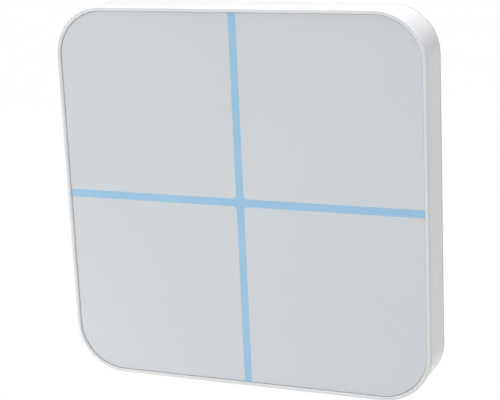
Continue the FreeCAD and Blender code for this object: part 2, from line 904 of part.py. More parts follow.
def make_battery():
    top = carrier_back - s.pad_thickness
    low = top - s.battery_thickness
    body = new_body("battery_cell")
    pouch = at_height(body, low)
    rectangle(pouch, battery_left, battery_right, battery_foot, battery_top, s.battery_corner)
    pad(body, pouch, s.battery_thickness)
    dress(body, "Fillet", s.battery_round, low)
    terrace = at_height(body, top - s.terrace_thickness)
    inset = s.terrace_inset
    rectangle(terrace, battery_left + inset, battery_right - inset, battery_top - inset, terrace_top)
    pad(body, terrace, s.terrace_thickness)
    pad_width = s.battery_width - 2 * s.pad_inset
    pad_height = s.battery_length - 2 * s.pad_inset
    pad_left = battery_left + s.pad_inset
    pad_foot = battery_foot + s.pad_inset
    block("battery_pad", pad_left, pad_width, pad_foot, pad_height, top, s.pad_thickness)


def make_battery_link():
    low = main_back - s.socket_thickness
    left = board_left + s.socket_left
    foot = plug_z - s.socket_width / 2
    block("battery_socket", left, s.socket_length, foot, s.socket_width, low, s.socket_thickness)
    inset = s.plug_inset
    plug_width = s.socket_width - 2 * inset
    plug_foot = foot + inset
    plug_thickness = s.socket_thickness - 2 * inset
    block("battery_plug", plug_x, s.plug_length, plug_foot, plug_width, low + inset, plug_thickness)


def make_battery_leads():
    """Two leads from the battery's terrace round into the plug, one inside the other."""
    pitch = s.lead_pitch.number
    plug_y = -(main_back - s.socket_thickness / 2).number
    battery_y = -(carrier_back - s.pad_thickness - s.terrace_thickness / 2).number
    start_x = battery_right.number - s.rib_length.number - pitch
    for name, side in (("battery_lead_red", 1), ("battery_lead_black", -1)):
        shift = side * pitch / 2
        level = plug_z.number + shift
        points = [
            Vector(start_x - shift, battery_y, terrace_top.number),
            Vector(start_x - shift, battery_y, level),
            Vector(plug_x.number - s.lead_straight.number, plug_y, level),
            Vector(plug_x.number, plug_y, level),
        ]
        wire_tube(name, points, s.lead_radius.number)


# Vibration motor: the shaft and weight turn in the case

def make_motor():
    along = Rotation(Vector(0, 1, 0), 90)
    case = rod("motor_case_outer", s.motor_radius, s.motor_length, motor_left, motor_height, motor_level)
    bore_radius = s.shaft_radius + s.shaft_running_gap
    bore = rod("motor_case_bore", bore_radius, s.motor_bore_depth, motor_left, motor_height, motor_level)
    boolean("Cut", "motor_case", case, bore)
    shaft_length = motor_left + s.motor_bore_depth - s.shaft_end_gap - weight_left
    shaft = rod("motor_shaft", s.shaft_radius, shaft_length, weight_left, motor_height, motor_level)
    shaft.Label = "motor_shaft"
    down = along.multiply(Rotation(Vector(0, 0, 1), -90))
    sector = rod("weight_sector", s.weight_radius, s.weight_length, weight_left, motor_height, motor_level, down)
    sector.Angle = 180
    hub = rod("weight_hub", s.weight_hub_radius, s.weight_length, weight_left, motor_height, motor_level)
    solid = boolean("Fuse", "weight_solid", sector, hub)
    hole_radius = s.shaft_radius + s.weight_bore_gap
    hole = rod("weight_hole", hole_radius, s.weight_length, weight_left, motor_height, motor_level)
    boolean("Cut", "motor_weight", solid, hole)


def make_motor_leads():
    """Two thin leads from the end of the motor that come to lie on the main board."""
    radius = s.motor_lead_radius.number
    low = (motor_height - s.motor_lead_drop).number
    start = Vector(motor_right.number, -low, motor_level.number)
    on_board = radius - main_back.number
    end_z = board_top.number - s.motor_lead_reach.number
    for name, side in (("motor_lead_red", 1), ("motor_lead_black", -1)):
        spread = side * s.motor_lead_spread.number
        first = start + Vector(0, 0, spread)
        last = Vector(board_left.number + s.motor_lead_across.number + spread, on_board, end_z)
        middle = Vector(last.x, first.y, first.z)
        wire_tube(name, [first, middle, last], radius)


# Pairing button and the switch behind it

def make_pairing_button():
    flange_low = cover_inner + s.button_rest_gap
    stem_low = flange_low + s.button_flange
    switch_low = stem_low + s.button_travel + s.stem_spare
    body = new_body("pairing_button")
    cap_low = recess_floor + s.button_recess
    cap = at_height(body, cap_low)
    circles(cap, [(switch_x, switch_z)], s.button_radius)
    pad(body, cap, flange_low - cap_low)
    flange = at_height(body, flange_low)
    circles(flange, [(switch_x, switch_z)], s.button_flange_radius)
    pad(body, flange, s.button_flange)
    body = new_body("switch_stem")
    stem = at_height(body, stem_low)
    circles(stem, [(switch_x, switch_z)], s.stem_radius)
    pad(body, stem, s.stem_length)
    body = new_body("pairing_switch")
    half = s.switch_side / 2
    case = at_height(body, switch_low)
    rectangle(case, switch_x - half, switch_x + half, switch_z - half, switch_z + half)
    pad(body, case, main_back - switch_low)
    bore_top = stem_low + s.stem_length + s.button_travel + s.stem_floor_gap
    bore = at_height(body, bore_top)
    circles(bore, [(switch_x, switch_z)], s.stem_radius + s.stem_gap)
    pocket(body, bore, bore_top - switch_low)


# Rear cover: rim behind the seam, spigot inside the walls, recess for the wall plate

def make_rear_cover():
    body = new_body("rear_cover")
    rim = at_height(body, s.plate_proud)
    square(rim, seam_half, s.seam_corner)
    pad(body, rim, s.rim_thickness - s.seam_width)
    dress(body, "Fillet", s.rim_round, s.plate_proud)
    neck = at_height(body, seam - s.seam_width)
    square(neck, seam_half - s.seam_depth, s.seam_corner - s.seam_depth)
    pad(body, neck, s.seam_width)
    tray = at_height(body, seam)
    square(tray, recess_half + s.recess_wall, s.recess_corner + s.recess_wall)
    pad(body, tray, cover_inner - seam)
    spigot_half = cavity_half - s.spigot_gap
    spigot_corner = cavity_corner - s.spigot_gap
    spigot = at_height(body, seam)
    square(spigot, spigot_half, spigot_corner)
    square(spigot, spigot_half - s.spigot_thickness, spigot_corner - s.spigot_thickness)
    pad(body, spigot, s.spigot_height)
    recess = at_height(body, recess_floor)
    square(recess, recess_half, s.recess_corner)
    pocket(body, recess, s.recess_depth)
    cut_cover_holes(body)
    notch = at_height(body, seam + s.spigot_height)
    half = s.usb_width / 2 + 2 * s.usb_slot_gap
    rectangle(notch, -half, half, -cavity_half, s.spigot_thickness + 2 * s.spigot_gap - cavity_half)
    pocket(body, notch, s.spigot_height)


def cut_cover_holes(body):
    """Screws, magnets, pairing button and the small holes over the buzzer."""
    through = at_height(body, cover_inner)
    circles(through, COVER_SCREWS, s.cover_screw_radius + s.screw_hole_gap)
    circles(through, [(switch_x, switch_z)], s.button_radius + s.button_gap)
    sound = [(buzzer_x, buzzer_z)]
    sound += [(buzzer_x + side * s.sound_hole_ring, buzzer_z) for side in (-1, 1)]
    sound += [(buzzer_x, buzzer_z + side * s.sound_hole_ring) for side in (-1, 1)]
    circles(through, sound, s.sound_hole_radius)
    pocket(body, through, s.cover_floor)
    sinks = at_height(body, recess_floor + s.cover_screw_sink)
    circles(sinks, COVER_SCREWS, s.cover_screw_head_radius + s.screw_hole_gap)
    pocket(body, sinks, s.cover_screw_sink)
    seats = at_height(body, cover_inner)
    circles(seats, MAGNETS, s.magnet_radius + s.magnet_gap)
    pocket(body, seats, s.magnet_sink)


def make_cover_magnets():
    body = new_body("cover_magnets")
    discs = at_height(body, cover_inner - s.magnet_sink)
    circles(discs, MAGNETS, s.magnet_radius)
    pad(body, discs, s.magnet_thickness)


def make_cover_screws():
    shoulder = recess_floor + s.cover_screw_sink
    head_face = shoulder - s.cover_screw_head
    body = new_body("cover_screws")
    heads = at_height(body, head_face)
    circles(heads, COVER_SCREWS, s.cover_screw_head_radius)
    pad(body, heads, s.cover_screw_head)
    shanks = at_height(body, shoulder)
    circles(shanks, COVER_SCREWS, s.cover_screw_radius)
    pad(body, shanks, s.cover_screw_length)
    add_screw_drive(body, COVER_SCREWS, head_face)


# Wall plate with its steel discs and foam pads

def make_wall_plate():
    corner = s.recess_corner - s.plate_fit_gap
    body = new_body("wall_plate")
    plate = at_height(body, 0)
    square(plate, plate_half, corner)
    pad(body, plate, plate_front)
    dress(body, "Chamfer", s.plate_chamfer, plate_front)
    seats = at_height(body, plate_front)
    circles(seats, MAGNETS, s.strike_radius + s.strike_gap)
    pocket(body, seats, s.strike_thickness)
    foam = at_height(body, s.foam_thickness)
    for side in (-1, 1):
        foam_outline(foam, side, s.foam_gap)
    pocket(body, foam, s.foam_thickness)
    spots = at_height(body, plate_front)
    holes = [(side * (plate_half - s.wall_hole_inset), as_length(0)) for side in (-1, 1)]
    circles(spots, holes, s.wall_hole_radius)
    doc.recompute()
    screws = body.newObject("PartDesign::Hole", "wall_plate_screw_holes")
    screws.Profile = spots
    body.Tip = screws
    doc.recompute()
    screws.DepthType = "ThroughAll"
    screws.HoleCutType = "Countersink"
    screws.HoleCutCustomValues = True
    screws.setExpression("HoleCutCountersinkAngle", s.wall_head_angle.formula)
    screws.setExpression("Diameter", (2 * s.wall_hole_radius).formula)
    screws.setExpression("HoleCutDiameter", (2 * s.wall_head_radius).formula)


def foam_outline(sketch, side, gap):
    half_width = s.foam_width / 2 + gap
    half_height = s.foam_height / 2 + gap
    middle = side * s.foam_centre
    corner = s.foam_corner + gap
    rectangle(sketch, -half_width, half_width, middle - half_height, middle + half_height, corner)


def make_strike_discs():
    body = new_body("strike_discs")
    discs = at_height(body, plate_front - s.strike_thickness)
    circles(discs, MAGNETS, s.strike_radius)
    pad(body, discs, s.strike_thickness)


def make_adhesive_pads():
    body = new_body("adhesive_pads")
    strips = at_height(body, 0)
    for side in (-1, 1):
        foam_outline(strips, side, as_length(0))
    pad(body, strips, s.foam_thickness)


def make_all():
    for name, right, up in (
        ("touch_panel_top_left", -1, 1),
        ("touch_panel_top_right", 1, 1),
        ("touch_panel_bottom_left", -1, -1),
        ("touch_panel_bottom_right", 1, -1),
    ):
        make_touch_panel(name, right, up)
    make_light_cross()
    make_panel_adhesive()
    make_touch_board()
    make_touch_electrodes()
    make_cross_leds()
    make_touch_controller()
    make_housing_frame()
    make_carrier_frame()
    make_main_board()
    make_board_screws()
    make_board_chips()
    make_radio()
    make_buzzer()
    make_usb()
    make_battery()
    make_battery_link()
    make_battery_leads()
    make_motor()
    make_motor_leads()
    make_pairing_button()
    make_rear_cover()
    make_cover_magnets()
    make_cover_screws()
    make_wall_plate()
    make_strike_discs()
    make_adhesive_pads()


def sub_parts():
    """The objects that no other object uses: one for each separate piece."""
    kinds = ("PartDesign::Body", "Part::Box", "Part::Cylinder", "Part::Cut", "Part::Fuse", "Part::Feature")
    tops = [item for item in doc.Objects if item.TypeId in kinds]
    used = {tool.Name for item in tops if hasattr(item, "Tool") for tool in (item.Base, item.Tool)}
    return [item for item in tops if item.Name not in used]


def check_and_write():
    doc.recompute()
    for item in doc.Objects:
        if {"Invalid", "Error"} & set(item.State):
            raise RuntimeError(f"{item.Label} failed: {item.State}")
    os.makedirs(PARTS_FOLDER, exist_ok=True)
    for item in sub_parts():
        shape = item.Shape
        if shape.isNull() or not shape.isValid() or not shape.Solids:
            raise RuntimeError(f"{item.Label} has no valid solid")
        shape.exportStep(f"{PARTS_FOLDER}/{item.Label}.step")
        box = shape.BoundBox
        print(
            f"{item.Label}: {len(shape.Solids)} solids, {shape.Volume:.2f} mm3, "
            f"{box.XLength:.2f} x {box.YLength:.2f} x {box.ZLength:.2f}"
        )


make_all()
check_and_write()
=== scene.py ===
# %% [markdown]
# # A wireless wall switch, dressed for a studio photograph
#
# The object is a square wall controller, 85 mm across. A white moulded frame holds a flat grey face
# that a pale blue cross divides into four touch fields. Behind it are a rear cover with magnets and a
# plate that stays on the wall.
#
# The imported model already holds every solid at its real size. This lesson adds what the eye needs:
# the camera, the surface of each material, the light, and one small detail too fine for the solids.

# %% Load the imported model
import math

import bmesh
import bpy
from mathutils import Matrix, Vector


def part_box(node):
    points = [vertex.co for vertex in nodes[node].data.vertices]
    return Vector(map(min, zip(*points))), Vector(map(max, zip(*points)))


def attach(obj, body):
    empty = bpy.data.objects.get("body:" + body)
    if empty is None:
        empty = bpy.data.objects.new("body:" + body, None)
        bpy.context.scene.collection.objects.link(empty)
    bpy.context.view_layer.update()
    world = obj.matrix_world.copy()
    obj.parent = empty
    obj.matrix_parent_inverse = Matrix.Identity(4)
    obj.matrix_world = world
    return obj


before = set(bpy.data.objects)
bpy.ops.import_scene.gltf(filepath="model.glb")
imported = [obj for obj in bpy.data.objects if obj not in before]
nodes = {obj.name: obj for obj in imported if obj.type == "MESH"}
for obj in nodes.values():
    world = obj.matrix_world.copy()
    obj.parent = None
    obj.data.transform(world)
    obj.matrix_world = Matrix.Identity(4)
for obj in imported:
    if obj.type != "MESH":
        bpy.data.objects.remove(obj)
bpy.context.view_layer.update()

# %% [markdown]
# ## Units
#
# Blender works in metres here, and a maker thinks in millimetres. The sizes could all be written in
# metres, but 0.00024 is easy to misread. One value turns one into the other, so that every size below
# can be read as a real one.

# %% Millimetres
MM = 0.001
print(f"1 mm is {MM} of a metre")

# %% [markdown]
# ## Camera
#
# The photograph was taken from the right and a little above, with a long lens: the sides of the
# square run together only slightly. A camera could be moved by eye until it fits. Here its place, turn
# and lens were worked out from the square outline, whose real side is known, because an error of one
# degree already shows as a wrong width of the side wall. The image is taken to be 500 by 400.

# %% Camera
CAMERA_PLACE_MM = (127.08, -307.80, 85.55)
CAMERA_TURN_DEG = (75.169, 2.538, 22.239)
CAMERA_LENS_MM = 110.32
SENSOR_WIDTH_MM = 36.0
NEAREST_SEEN_MM = 10

camera_data = bpy.data.cameras.new("studio_camera")
camera_data.sensor_width = SENSOR_WIDTH_MM
camera_data.lens = CAMERA_LENS_MM
camera_data.clip_start = NEAREST_SEEN_MM * MM
camera = bpy.data.objects.new("studio_camera", camera_data)
camera.location = Vector(CAMERA_PLACE_MM) * MM
camera.rotation_euler = [math.radians(turn) for turn in CAMERA_TURN_DEG]
bpy.context.scene.collection.objects.link(camera)
bpy.context.scene.camera = camera
print(f"camera at {[round(value, 4) for value in camera.location]} m, lens {CAMERA_LENS_MM} mm")

# %% [markdown]
# ## Colour
#
# Colours are written as the hex values that a colour picker shows. A shader wants linear light, so one
# function turns the first into the second, by the curve of the sRGB standard. The standard view keeps
# the colours as they are picked, where a film look would bend the whites of this object.

# %% Colour
bpy.context.scene.view_settings.view_transform = "Standard"


def linear(hex_colour):
    """The linear red, green, blue and alpha of an sRGB hex colour."""
    shares = [int(hex_colour[start:start + 2], 16) / 255 for start in (1, 3, 5)]
    return tuple(v / 12.92 if v <= 0.04045 else ((v + 0.055) / 1.055) ** 2.4 for v in shares) + (1.0,)


print(f"mid grey #808080 is {linear('#808080')[0]:.3f} in linear light")

# %% [markdown]
# ## Starting a material
#
# A material is a small network of nodes. It could be joined by hand in the editor, but a script says
# the same in a few lines and never forgets a link. The first function adds one node, with its
# settings, its fixed values and what is plugged into it. The second starts a material with its shader.
# What is the same all over a surface goes on the shader's own sockets, and only what varies comes
# through nodes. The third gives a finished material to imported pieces.


# %% Nodes and materials
def add_node(tree, kind, settings=None, values=None, links=None):
    """One node with its settings, its fixed inputs and its linked inputs."""
    node = tree.nodes.new("ShaderNode" + kind)
    for name, value in (settings or {}).items():
        setattr(node, name, value)
    for name, value in (values or {}).items():
        node.inputs[name].default_value = value
    for name, source in (links or {}).items():
        tree.links.new(source, node.inputs[name])
    return node


def new_material(name, values):
    """A material with one shader on it, and the fixed values on the shader's own sockets."""
    material = bpy.data.materials.new(name)
    material.use_nodes = True
    tree = material.node_tree
    shader = tree.nodes["Principled BSDF"]
    for socket, value in values.items():
        shader.inputs[socket].default_value = value
    return material, tree, shader


def dress(material, *names):
    """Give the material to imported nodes."""
    for name in names:
        nodes[name].data.materials.clear()
        nodes[name].data.materials.append(material)
    print(f"{material.name}: {', '.join(names)}")


print(f"{len(nodes)} pieces wait for a material")

# %% [markdown]
# ## Patterns at their real size
#
# A surface could be painted or photographed, but both need an image and a flat layout of the piece.
# Patterns that fill space need neither and have no seams. They are laid out in millimetres from the
# object's own place, so a pattern's scale is one over its real size.

# %% Places in millimetres
MM_PER_M = 1000.0


def millimetres(tree, stretch=(1, 1, 1), turn=(0, 0, 0)):
    """Where a point lies on the object, in millimetres, drawn out along an axis or turned."""
    place = add_node(tree, "TexCoord")
    scale = [MM_PER_M * share for share in stretch]
    sized = add_node(
        tree,
        "Mapping",
        values={"Scale": scale, "Rotation": turn},
        links={"Vector": place.outputs["Object"]},
    )
    return sized.outputs["Vector"]


print(f"a pattern 0.5 mm across has a scale of {1 / 0.5}")

# %% [markdown]
# ## A shade that drifts
#
# No real surface has one flat colour. Pigment and flow let the shade drift over it, and a surface
# without that looks like a drawing. A ramp of many colours could give it, but real drift is faint, so
# two close colours are enough, mixed by a cloudy noise. Noise seldom leaves the middle of its range, so
# that middle is laid over the whole way from one colour to the other.

# %% Drifting shade
CLOUD_DETAIL = 2.0
NOISE_LOW = 0.3
NOISE_HIGH = 0.7
# The Mix node has a socket for every kind of value under one name, so its sockets go by number.
MIX_FIRST_COLOUR = 6
MIX_SECOND_COLOUR = 7
MIXED_COLOUR = 2


def cloud(tree, place, size_mm):
    """A share from nothing to one that wanders in blotches about size_mm across."""
    blotches = add_node(
        tree, "TexNoise", values={"Scale": 1 / size_mm, "Detail": CLOUD_DETAIL}, links={"Vector": place}
    )
    share = add_node(
        tree,
        "MapRange",
        values={"From Min": NOISE_LOW, "From Max": NOISE_HIGH, "To Min": 0.0, "To Max": 1.0},
        links={"Value": blotches.outputs["Fac"]},
    )
    return share.outputs["Result"]


def drifting_shade(tree, place, size_mm, hexes):
    """A colour that drifts between two, in blotches about size_mm across."""
    mixed = add_node(
        tree,
        "Mix",
        settings={"data_type": "RGBA"},
        values={MIX_FIRST_COLOUR: linear(hexes[0]), MIX_SECOND_COLOUR: linear(hexes[1])},
        links={"Factor": cloud(tree, place, size_mm)},
    )
    return mixed.outputs[MIXED_COLOUR]


print(f"noise from {NOISE_LOW} to {NOISE_HIGH} is laid over the whole drift")

# %% [markdown]
# ## Grain, and the gloss that goes with it
#
# A mould, a roller or a die leaves a fine relief. It could be modelled, at the cost of millions of
# faces. A bump tilts the light in the same way without them. The gloss changes with the relief, so that
# a highlight breaks up a little at its edge. Without that it ends in a clean line and looks painted on.
# What is narrower than a pixel doesn't show, so the last line measures how wide a pixel is.

# %% Grain and gloss
PIXELS_ACROSS = 500


def grained(tree, shader, place, grain_mm, detail, roughness, swing, depth_mm):
    """A relief depth_mm deep, and a roughness that swings with it by a share of itself."""
    grain = add_node(
        tree, "TexNoise", values={"Scale": 1 / grain_mm, "Detail": detail}, links={"Vector": place}
    )
    gloss = add_node(
        tree,
        "MapRange",
        values={
            "From Min": NOISE_LOW,
            "From Max": NOISE_HIGH,
            "To Min": roughness * (1 - swing),
            "To Max": roughness * (1 + swing),
        },
        links={"Value": grain.outputs["Fac"]},
    )
    relief = add_node(
        tree,
        "Bump",
        values={"Strength": 1.0, "Distance": depth_mm * MM},
        links={"Height": grain.outputs["Fac"]},
    )
    tree.links.new(gloss.outputs["Result"], shader.inputs["Roughness"])
    tree.links.new(relief.outputs["Normal"], shader.inputs["Normal"])


view_width_mm = camera.location.length / MM * SENSOR_WIDTH_MM / CAMERA_LENS_MM
print(f"one pixel covers {view_width_mm / PIXELS_ACROSS:.2f} mm of the object")

# %% [markdown]
# ## Moulded plastics
#
# Most pieces are injection moulded. Their shade drifts slowly, and the steel of the mould leaves a fine
# grain. One function makes them all, because only the colour, the gloss and the grain differ.
#
# ### The white frame
#
# The frame is white ABS from a polished mould. It could be left perfectly smooth, but then its
# highlight looks like glass. A polished mould's grain is much finer than a pixel, so it is drawn 0.3 mm
# wide to show.

# %% White frame
PLASTIC_SWING = 0.1


def moulded_plastic(name, hexes, roughness, grain_mm, grain_depth_mm, ior=1.53, drift_mm=22.0):
    """Moulded plastic: a slow drift of shade, a fine grain, and a gloss that follows it."""
    material, tree, shader = new_material(name, {"IOR": ior})
    place = millimetres(tree)
    tree.links.new(drifting_shade(tree, place, drift_mm, hexes), shader.inputs["Base Color"])
    grained(tree, shader, place, grain_mm, CLOUD_DETAIL, roughness, PLASTIC_SWING, grain_depth_mm)
    return material


# Polished ABS: an even, slightly silky white that catches a soft highlight along the rounded lip.
polished_white_abs = moulded_plastic(
    "polished_white_abs", ("#e7e7e5", "#e3e4e8"), roughness=0.32, grain_mm=0.3, grain_depth_mm=0.001
)
dress(polished_white_abs, "housing_frame")

# %% [markdown]
# ### The rear cover and the wall plate
#
# These sides hang out of sight. Their mould is eroded by sparks, which hides scratches and flow marks.
# They could share the frame's material, but the change from silk to matt is what tells front from back.

# %% Rear cover and wall plate
# Eroded ABS: the same white, but dull and finely pebbled, with no highlight at all.
eroded_white_abs = moulded_plastic(
    "eroded_white_abs", ("#e5e5e4", "#e0e0df"), roughness=0.55, grain_mm=0.35, grain_depth_mm=0.006
)
dress(eroded_white_abs, "rear_cover", "wall_plate")

# %% [markdown]
# ### The touch panels
#
# Each quarter of the face is clear acrylic sheet, printed pale grey on its back. A true clear sheet
# over a print could be made with glass and a second surface. A clear coat over a satin grey gives the
# eye the same two layers, a sharp gloss on a soft colour, and bakes into the exported model.

# %% Touch panels
ACRYLIC_IOR = 1.49
MOTTLE_SHARE = 0.35
# The Mix node's sockets for plain numbers.
MIX_FIRST_NUMBER = 2
MIX_SECOND_NUMBER = 3
MIXED_NUMBER = 0


def printed_acrylic(name, hexes, mottle_mm, drift_mm):
    """Clear acrylic over a printed colour: a soft base with a fine mottle of print and a slow drift of
    painted reflection, under a smooth clear coat.
    """
    material, tree, shader = new_material(
        name,
        {
            "IOR": ACRYLIC_IOR,
            "Roughness": 0.35,
            "Coat Weight": 0.5,
            "Coat Roughness": 0.08,
            "Coat IOR": ACRYLIC_IOR,
        },
    )
    place = millimetres(tree)
    # Painted reflection: the slow blotches, drift_mm across, stand in for soft reflections in the
    # gloss. The fine mottle is the print's own.
    both = add_node(
        tree,
        "Mix",
        settings={"data_type": "FLOAT"},
        values={"Factor": MOTTLE_SHARE},
        links={
            MIX_FIRST_NUMBER: cloud(tree, place, drift_mm),
            MIX_SECOND_NUMBER: cloud(tree, place, mottle_mm),
        },
    )
    printed = add_node(
        tree,
        "Mix",
        settings={"data_type": "RGBA"},
        values={MIX_FIRST_COLOUR: linear(hexes[0]), MIX_SECOND_COLOUR: linear(hexes[1])},
        links={"Factor": both.outputs[MIXED_NUMBER]},
    )
    tree.links.new(printed.outputs[MIXED_COLOUR], shader.inputs["Base Color"])
    return material


# Acrylic printed on its back: a flat calm grey under a clear gloss, with a faint mottle in the print
# and a slow painted reflection drifting over it.
back_printed_acrylic = printed_acrylic(
    "back_printed_acrylic", ("#d4d9dd", "#d7dce0"), mottle_mm=0.8, drift_mm=30.0
)
QUARTERS = [f"touch_panel_{level}_{side}" for level in ("top", "bottom") for side in ("left", "right")]
dress(back_printed_acrylic, *QUARTERS)

# %% [markdown]
# ### The light cross
#
# The cross is a light guide of milky polycarbonate, with eight lamps behind it. Real lamps and a
# see-through plastic would cost much time and noise. The glow is set on the shader instead, with the
# same blue, because a milky guide spreads its light so well that it looks lit from within.

# %% Light cross
CLOUD_IN_GUIDE_MM = 6.0


def milky_guide(name, hexes, glow_hex, glow):
    """Milky polycarbonate with light inside it."""
    material, tree, shader = new_material(
        name,
        {"IOR": 1.58, "Roughness": 0.3, "Emission Color": linear(glow_hex), "Emission Strength": glow},
    )
    shade = drifting_shade(tree, millimetres(tree), CLOUD_IN_GUIDE_MM, hexes)
    tree.links.new(shade, shader.inputs["Base Color"])
    return material


# Moulded milky polycarbonate: a pale sky blue that keeps its colour even from end to end.
moulded_milky_polycarbonate = milky_guide(
    "moulded_milky_polycarbonate", ("#92bddb", "#98c1dd"), glow_hex="#8fc0e2", glow=0.1
)
dress(moulded_milky_polycarbonate, "light_cross")

# %% [markdown]
# ### Dark inner mouldings
#
# Nobody sees these until the unit is opened, so they are made for strength and heat and not for looks.
# One black could serve them all, but an opened unit would then look like a drawing. Grain and gloss
# tell them apart here. The finest grains are drawn 0.12 to 0.2 mm wide, coarser than real, to show.

# %% Dark inner mouldings
# Glass-filled nylon: charcoal and dull, with the coarse grain of short fibres near the skin.
moulded_glass_nylon = moulded_plastic(
    "moulded_glass_nylon", ("#303335", "#282b2d"), roughness=0.6, grain_mm=0.25, grain_depth_mm=0.012
)
dress(moulded_glass_nylon, "carrier_frame")
# Moulded connector resin: a deep black with a slight sheen.
moulded_black_resin = moulded_plastic(
    "moulded_black_resin", ("#161616", "#1c1c1d"), roughness=0.45, grain_mm=0.2, grain_depth_mm=0.004
)
dress(moulded_black_resin, "board_plug", "board_socket", "usb_insert", "switch_stem")
# Epoxy filled with silica, pressed round a chip: a cooler black with a fine sandy skin.
pressed_chip_epoxy = moulded_plastic(
    "pressed_chip_epoxy",
    ("#1b1c1e", "#232426"),
    roughness=0.5,
    grain_mm=0.12,
    grain_depth_mm=0.004,
    ior=1.55,
)
dress(pressed_chip_epoxy, "touch_controller", "microcontroller", "charger_chip", "buzzer")

# %% [markdown]
# ### Pale inner mouldings
#
# Some small pieces show the colour of the stuff itself, and stand out on the green boards. They could
# all be white, but each has its own tint, which is how a repairer finds them. The function for plastics
# makes the glazed one too, with a higher IOR, since a glaze is as smooth as a polished moulding.

# %% Pale inner mouldings
# Undyed moulded nylon: a warm cream, slightly waxy.
moulded_natural_nylon = moulded_plastic(
    "moulded_natural_nylon", ("#e4ddca", "#ddd5c0"), roughness=0.5, grain_mm=0.2, grain_depth_mm=0.004
)
dress(moulded_natural_nylon, "battery_socket", "battery_plug")
# Cast resin with phosphor in it: glossy and faintly yellow, as an unlit lamp is.
cast_lamp_resin = moulded_plastic(
    "cast_lamp_resin", ("#f2efdc", "#e9e4c4"), roughness=0.25, grain_mm=0.3, grain_depth_mm=0.001
)
dress(cast_lamp_resin, "cross_leds")
# Fired ceramic under glaze: a cool off-white that shines like a tooth.
glazed_ceramic = moulded_plastic(
    "glazed_ceramic",
    ("#dfe3df", "#cfd6d1"),
    roughness=0.3,
    grain_mm=0.15,
    grain_depth_mm=0.002,
    ior=1.7,
)
dress(glazed_ceramic, "chip_antenna")
# Dyed ABS from an eroded mould: a plain mid grey that marks the button on the white cover.
eroded_grey_abs = moulded_plastic(
    "eroded_grey_abs", ("#6f7375", "#787c7e"), roughness=0.5, grain_mm=0.2, grain_depth_mm=0.004
)
dress(eroded_grey_abs, "pairing_button")

# %% [markdown]
# ### Tape, foam and the skin of the leads
#
# These are soft, and softness shows as low gloss and a rounder grain. They could be crumpled or draped,
# but tape and foam are clamped flat here and the leads lie still, so the solids' shapes stay. The
# function for plastics serves again, and only the foam's shade changes from cell to cell.

# %% Tape, foam and leads
# Foamed acrylic tape: dead black, with soft bumps half a millimetre wide.
foamed_black_tape = moulded_plastic(
    "foamed_black_tape", ("#141414", "#1b1b1b"), roughness=0.7, grain_mm=0.5, grain_depth_mm=0.01
)
dress(foamed_black_tape, "panel_adhesive", "battery_pad")
# Polyethylene foam cut to size: a chalky off-white, with cells 0.45 mm wide open at the surface.
cut_polyethylene_foam = moulded_plastic(
    "cut_polyethylene_foam",
    ("#efeeea", "#dcdbd6"),
    roughness=0.9,
    grain_mm=0.45,
    grain_depth_mm=0.06,
    drift_mm=1.2,
)
dress(cut_polyethylene_foam, "adhesive_pads")
# Soft PVC drawn over copper strands: a saturated colour with a wet-looking sheen.
# Its grain is drawn 0.3 mm wide, coarser than real, so that it shows.
extruded_red_pvc = moulded_plastic(
    "extruded_red_pvc", ("#a81f1c", "#95201d"), roughness=0.4, grain_mm=0.3, grain_depth_mm=0.002
)
dress(extruded_red_pvc, "battery_lead_red", "motor_lead_red")
# The same skin dyed black: the sheen is all that lifts it from the dark carrier.
extruded_black_pvc = moulded_plastic(
    "extruded_black_pvc", ("#171717", "#202020"), roughness=0.4, grain_mm=0.3, grain_depth_mm=0.002
)
dress(extruded_black_pvc, "battery_lead_black", "motor_lead_black")

# %% [markdown]
# ## Metals
#
# A metal takes its look from how it was worked. Rolled sheet has long faint lines one way, a drawn tube
# has them along its length, and plating softens both. The shader can stretch a highlight by itself, but
# real lines also show as relief, so they are noise drawn out along one axis. Most real lines are finer
# than a pixel, so they are drawn 0.12 to 0.3 mm wide to show.
#
# ### Steel
#
# The unit holds steel in several finishes, from bare rolled discs to the bright drawn can of the motor.
# Strong colours would tell them apart at once, and look like toys. The greys are close together here,
# and the line of the tool and the gloss make the difference.

# %% Steel
METAL_SWING = 0.25
LINE_DETAIL = 3.0
STAIN_MM = 5.0
ALONG_X = (0.05, 1, 1)
ALONG_Z = (1, 1, 0.05)
EVEN = (1, 1, 1)


def worked_metal(name, hexes, roughness, line_mm, stretch=EVEN, depth_mm=0.002):
    """Metal with fine lines along the axis where stretch is small, or none where it is even."""
    material, tree, shader = new_material(name, {"Metallic": 1.0})
    stain = drifting_shade(tree, millimetres(tree), STAIN_MM, hexes)
    tree.links.new(stain, shader.inputs["Base Color"])
    lines = millimetres(tree, stretch)
    grained(tree, shader, lines, line_mm, LINE_DETAIL, roughness, METAL_SWING, depth_mm)
    return material


# Bare rolled sheet: dark and satin, with upright lines.
rolled_steel = worked_metal(
    "rolled_steel", ("#9a9b9d", "#8c8d90"), roughness=0.38, line_mm=0.18, stretch=ALONG_Z
)
dress(rolled_steel, "strike_discs")
# Zinc plate: brighter and slightly blue, cloudy and with no direction.
zinc_plated_steel = worked_metal(
    "zinc_plated_steel", ("#b3b6bb", "#9fa3a9"), roughness=0.3, line_mm=0.25
)
dress(zinc_plated_steel, "board_screws", "cover_screws")
# Deep-drawn stainless sheet: pale and clean, with lines down the draw.
drawn_stainless = worked_metal(
    "drawn_stainless", ("#c2c1bf", "#b5b4b2"), roughness=0.25, line_mm=0.15, stretch=ALONG_Z
)
dress(drawn_stainless, "usb_shell")
# Drawn tube and bar: fine bright lines along the motor.
drawn_steel = worked_metal(
    "drawn_steel", ("#bcbdbf", "#aeb0b2"), roughness=0.28, line_mm=0.15, stretch=ALONG_X
)
dress(drawn_steel, "motor_case", "motor_shaft")

# %% [markdown]
# ### Plated and other metals
#
# Nickel guards the magnets from rust, and tin lets the shield be soldered. Copper, tungsten and
# aluminium foil keep their own colours. They could be one silver, but side by side the eye knows a warm
# white metal from a cold one, and only the copper is plainly coloured.

